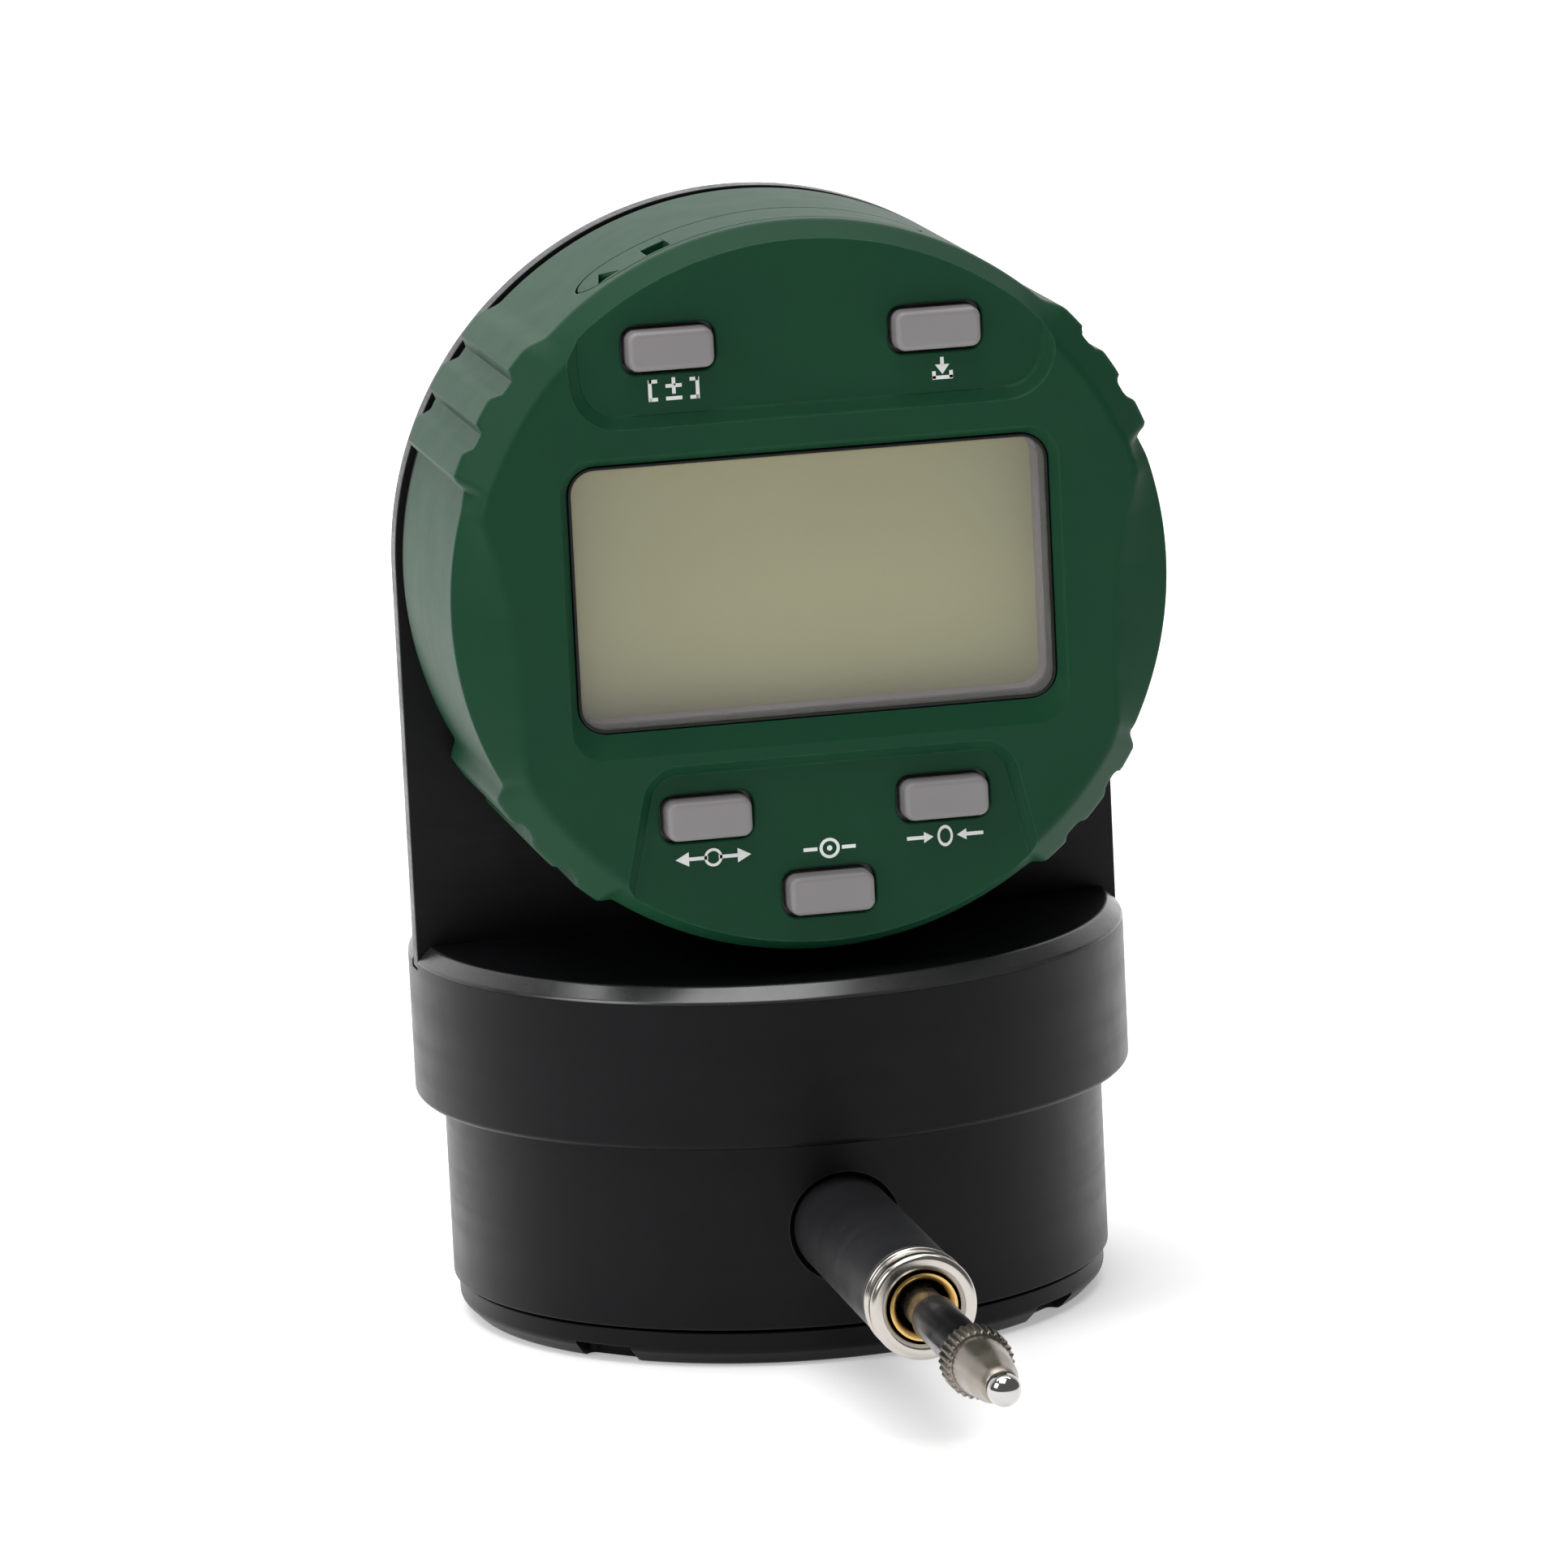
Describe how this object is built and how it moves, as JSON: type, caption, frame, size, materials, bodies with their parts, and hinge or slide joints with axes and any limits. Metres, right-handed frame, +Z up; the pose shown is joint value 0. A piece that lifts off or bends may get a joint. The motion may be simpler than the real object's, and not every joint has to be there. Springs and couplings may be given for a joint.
{
  "type": "dial indicator",
  "caption": "Digital drop indicator with a round swivelling display head, push buttons and a slide-out coin battery, on a turned drum base with a horizontal sprung plunger and ball contact.",
  "frame": {"origin": "centre of the base disc's underside", "axes": "+Z up, the display and the plunger face -Y, +X is the right-hand side seen from the front"},
  "size_m": [0.068, 0.1305, 0.1065],
  "materials": {
    "black_metal": "black anodised, fine turned satin",
    "black_plastic": "moulded, fine matt",
    "green_plastic": "dark green, fine satin texture",
    "grey_plastic": "warm grey, fine matt",
    "chrome": "polished",
    "steel": "ground or turned, uncoated",
    "brass": "turned",
    "lens": "clear polished window",
    "display": "grey-green liquid crystal panel",
    "board": "circuit board laminate",
    "rubber": "moulded silicone",
    "flex": "amber polyimide ribbon",
    "glass": "glass scale with etched lines"
  },
  "bodies": {
    "base": {"base_disc": "black_metal", "base_screw_1": "steel", "base_screw_2": "steel", "base_screw_3": "steel", "drum_body": "black_metal", "flange_ring": "black_metal", "upright_plate": "black_metal", "plate_bracket": "black_metal", "bracket_screw_1": "steel", "bracket_screw_2": "steel", "flange_screw_1": "steel", "flange_screw_2": "steel", "duct_cover": "black_plastic", "cover_screw_1": "steel", "cover_screw_2": "steel", "signal_flex": "flex", "stem_tube": "black_metal", "stem_set_screw": "steel", "nose_ring": "chrome", "guide_bush": "brass", "rear_bush": "brass", "sensor_board": "board", "read_head": "black_plastic", "return_spring": "steel", "guide_rod": "steel"},
    "plunger": {"spindle": "steel", "dust_sleeve": "black_plastic", "contact_body": "steel", "contact_ball": "chrome", "scale_carrier": "grey_plastic", "carrier_screw": "steel", "encoder_scale": "glass"},
    "head": {"head_housing": "green_plastic", "head_back_cover": "black_plastic", "housing_screw_1": "steel", "housing_screw_2": "steel", "housing_screw_3": "steel", "housing_screw_4": "steel", "pivot_hub": "steel", "friction_washer": "steel", "hub_nut": "steel", "lens_frame": "black_plastic", "window_lens": "lens", "display_surround": "grey_plastic", "lcd_module": "display", "main_board": "board", "keypad_mat_upper": "rubber", "keypad_mat_lower": "rubber", "contact_positive": "brass", "contact_negative": "brass"},
    "battery_drawer": {"battery_cover": "green_plastic", "battery_tray": "black_plastic", "coin_cell": "steel"},
    "tolerance_button": {"button_tolerance": "grey_plastic"},
    "memory_button": {"button_memory": "grey_plastic"},
    "units_button": {"button_units": "grey_plastic"},
    "absolute_button": {"button_absolute": "grey_plastic"},
    "zero_button": {"button_zero": "grey_plastic"}
  },
  "joints": [
    {"name": "plunger_travel", "type": "slide", "parent": "base", "child": "plunger", "axis": [0, 1, 0], "range_m": [0, 0.0127], "stiffness_N_per_m": 60, "springref_m": -0.02, "deforming": ["return_spring"]},
    {"name": "head_swivel", "type": "hinge", "parent": "base", "child": "head", "pos_m": [0, -0.0019, 0.0726], "axis": [0, -1, 0], "range_deg": [-90, 90]},
    {"name": "battery_drawer_slide", "type": "slide", "parent": "head", "child": "battery_drawer", "axis": [0, 0, 1], "range_m": [0, 0.022]},
    {"name": "tolerance_button_press", "type": "slide", "parent": "head", "child": "tolerance_button", "axis": [0, 1, 0], "range_m": [0, 0.0006], "stiffness_N_per_m": 2000, "springref_m": -0.0003},
    {"name": "memory_button_press", "type": "slide", "parent": "head", "child": "memory_button", "axis": [0, 1, 0], "range_m": [0, 0.0006], "stiffness_N_per_m": 2000, "springref_m": -0.0003},
    {"name": "units_button_press", "type": "slide", "parent": "head", "child": "units_button", "axis": [0, 1, 0], "range_m": [0, 0.0006], "stiffness_N_per_m": 2000, "springref_m": -0.0003},
    {"name": "absolute_button_press", "type": "slide", "parent": "head", "child": "absolute_button", "axis": [0, 1, 0], "range_m": [0, 0.0006], "stiffness_N_per_m": 2000, "springref_m": -0.0003},
    {"name": "zero_button_press", "type": "slide", "parent": "head", "child": "zero_button", "axis": [0, 1, 0], "range_m": [0, 0.0006], "stiffness_N_per_m": 2000, "springref_m": -0.0003}
  ]
}
